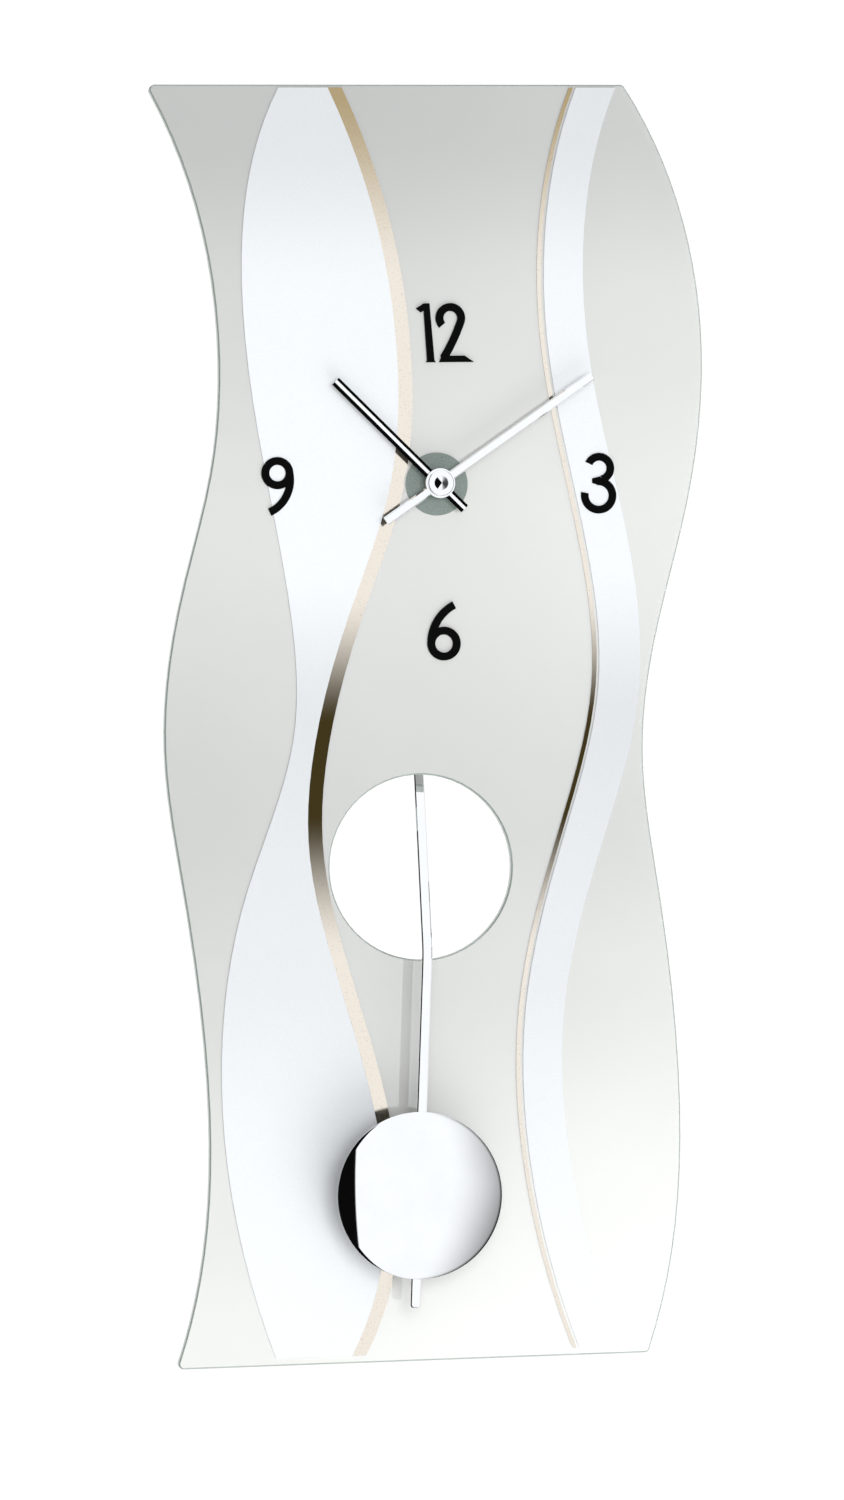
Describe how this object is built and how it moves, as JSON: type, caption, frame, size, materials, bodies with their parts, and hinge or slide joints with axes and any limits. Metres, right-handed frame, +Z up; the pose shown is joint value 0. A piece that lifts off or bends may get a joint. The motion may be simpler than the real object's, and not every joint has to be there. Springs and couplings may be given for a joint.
{
  "type": "pendulum wall clock",
  "caption": "Tall wavy frosted-glass wall clock with metal trim bands, slim hands, a quartz movement behind, and a pendulum that passes through a round window.",
  "frame": {"origin": "middle of the hanger's keyhole entry, on the face that meets the wall", "axes": "+Z up, -Y out of the wall towards the viewer, +X to the viewer's right; the wall is the plane Y = 0"},
  "size_m": [0.2623, 0.063, 0.6],
  "materials": {
    "clear_glass": "frosted at the back, polished at the front",
    "silver": "satin",
    "gold": "polished, champagne gold anodised",
    "black": "semi-gloss print",
    "grey": "glossy",
    "chromed": "polished",
    "steel": "zinc plated",
    "brass": "turned",
    "rubber": "matt",
    "clear_plastic": "clear moulded",
    "case_plastic": "fine textured",
    "lever_plastic": "fine textured",
    "wheel_plastic": "moulded",
    "plate_plastic": "moulded",
    "copper": "enamelled winding wire",
    "board": "solder-masked laminate",
    "chip": "moulded",
    "magnet": "sintered",
    "battery_can": "printed can",
    "nickel": "nickel plated"
  },
  "bodies": {
    "clock": {"glass_panel": "clear_glass", "silver_band_left": "silver", "silver_band_right": "silver", "gold_strip_left": "gold", "gold_strip_right": "gold", "numeral_12": "black", "numeral_3": "black", "numeral_6": "black", "numeral_9": "black", "cover_disc": "grey", "centre_nut": "brass", "glass_gasket": "rubber", "hanger_strap": "steel", "wall_spacer_left": "clear_plastic", "wall_spacer_right": "clear_plastic", "movement_front_case": "case_plastic", "movement_back_case": "case_plastic", "train_plate": "plate_plastic", "case_screws": "steel", "battery": "battery_can", "battery_contact_positive": "nickel", "battery_contact_negative": "nickel", "circuit_board": "board", "timer_chip": "chip", "quartz_crystal": "nickel", "pendulum_drive_coil": "copper", "motor_stator": "steel", "motor_coil": "copper", "pendulum_pivot_pin": "steel"},
    "minute_hand": {"minute_arbor": "brass", "friction_spring": "steel", "minute_hand": "chromed", "hand_nut": "chromed"},
    "hour_hand": {"hour_wheel": "wheel_plastic", "hour_hand": "chromed"},
    "motion_wheel": {"motion_wheel": "wheel_plastic"},
    "set_knob": {"set_shaft": "wheel_plastic", "set_knob": "case_plastic"},
    "centre_wheel": {"centre_wheel": "brass"},
    "third_wheel": {"third_wheel": "wheel_plastic"},
    "second_wheel": {"second_wheel": "wheel_plastic"},
    "intermediate_wheel": {"intermediate_wheel": "wheel_plastic"},
    "rotor": {"motor_rotor": "magnet"},
    "pendulum": {"pendulum_lever": "lever_plastic", "drive_magnet": "magnet", "pendulum_rod": "chromed", "bob_back_plate": "steel", "bob_dome": "chromed", "bob_clip": "steel"}
  },
  "joints": [
    {"name": "minute_hand_turn", "type": "hinge", "parent": "clock", "child": "minute_hand", "pos_m": [0, -0.038, -0.048], "axis": [0, 1, 0], "continuous": true},
    {"name": "hour_hand_turn", "type": "hinge", "parent": "clock", "child": "hour_hand", "pos_m": [0, -0.035, -0.048], "axis": [0, 1, 0], "continuous": true},
    {"name": "motion_wheel_turn", "type": "hinge", "parent": "clock", "child": "motion_wheel", "pos_m": [0, -0.018, -0.0564], "axis": [0, 1, 0], "continuous": true},
    {"name": "set_knob_turn", "type": "hinge", "parent": "clock", "child": "set_knob", "pos_m": [0.00789, -0.01, -0.05927], "axis": [0, 1, 0], "continuous": true},
    {"name": "second_wheel_turn", "type": "hinge", "parent": "clock", "child": "second_wheel", "pos_m": [-0.01004, -0.012, -0.03101], "axis": [0, 1, 0], "continuous": true},
    {"name": "third_wheel_turn", "type": "hinge", "parent": "clock", "child": "third_wheel", "pos_m": [-0.00827, -0.014, -0.04106], "axis": [0, 1, 0], "continuous": true},
    {"name": "centre_wheel_turn", "type": "hinge", "parent": "clock", "child": "centre_wheel", "pos_m": [0, -0.0155, -0.048], "axis": [0, 1, 0], "continuous": true},
    {"name": "intermediate_wheel_turn", "type": "hinge", "parent": "clock", "child": "intermediate_wheel", "pos_m": [-0.00784, -0.011, -0.0228], "axis": [0, 1, 0], "continuous": true},
    {"name": "rotor_turn", "type": "hinge", "parent": "clock", "child": "rotor", "pos_m": [-0.01523, -0.014, -0.0241], "axis": [0, 1, 0], "continuous": true},
    {"name": "pendulum_swing", "type": "hinge", "parent": "clock", "child": "pendulum", "pos_m": [0, -0.0066, -0.023], "axis": [0, 1, 0], "range_deg": [-8.1, 1.9]}
  ],
  "couplings": [
    {"joint": "motion_wheel_turn", "follows": "minute_hand_turn", "ratio": -0.33333},
    {"joint": "hour_hand_turn", "follows": "minute_hand_turn", "ratio": 0.083333},
    {"joint": "set_knob_turn", "follows": "minute_hand_turn", "ratio": 1},
    {"joint": "third_wheel_turn", "follows": "second_wheel_turn", "ratio": -0.13333},
    {"joint": "centre_wheel_turn", "follows": "second_wheel_turn", "ratio": 0.016667},
    {"joint": "intermediate_wheel_turn", "follows": "second_wheel_turn", "ratio": -7.5},
    {"joint": "rotor_turn", "follows": "second_wheel_turn", "ratio": 30}
  ]
}
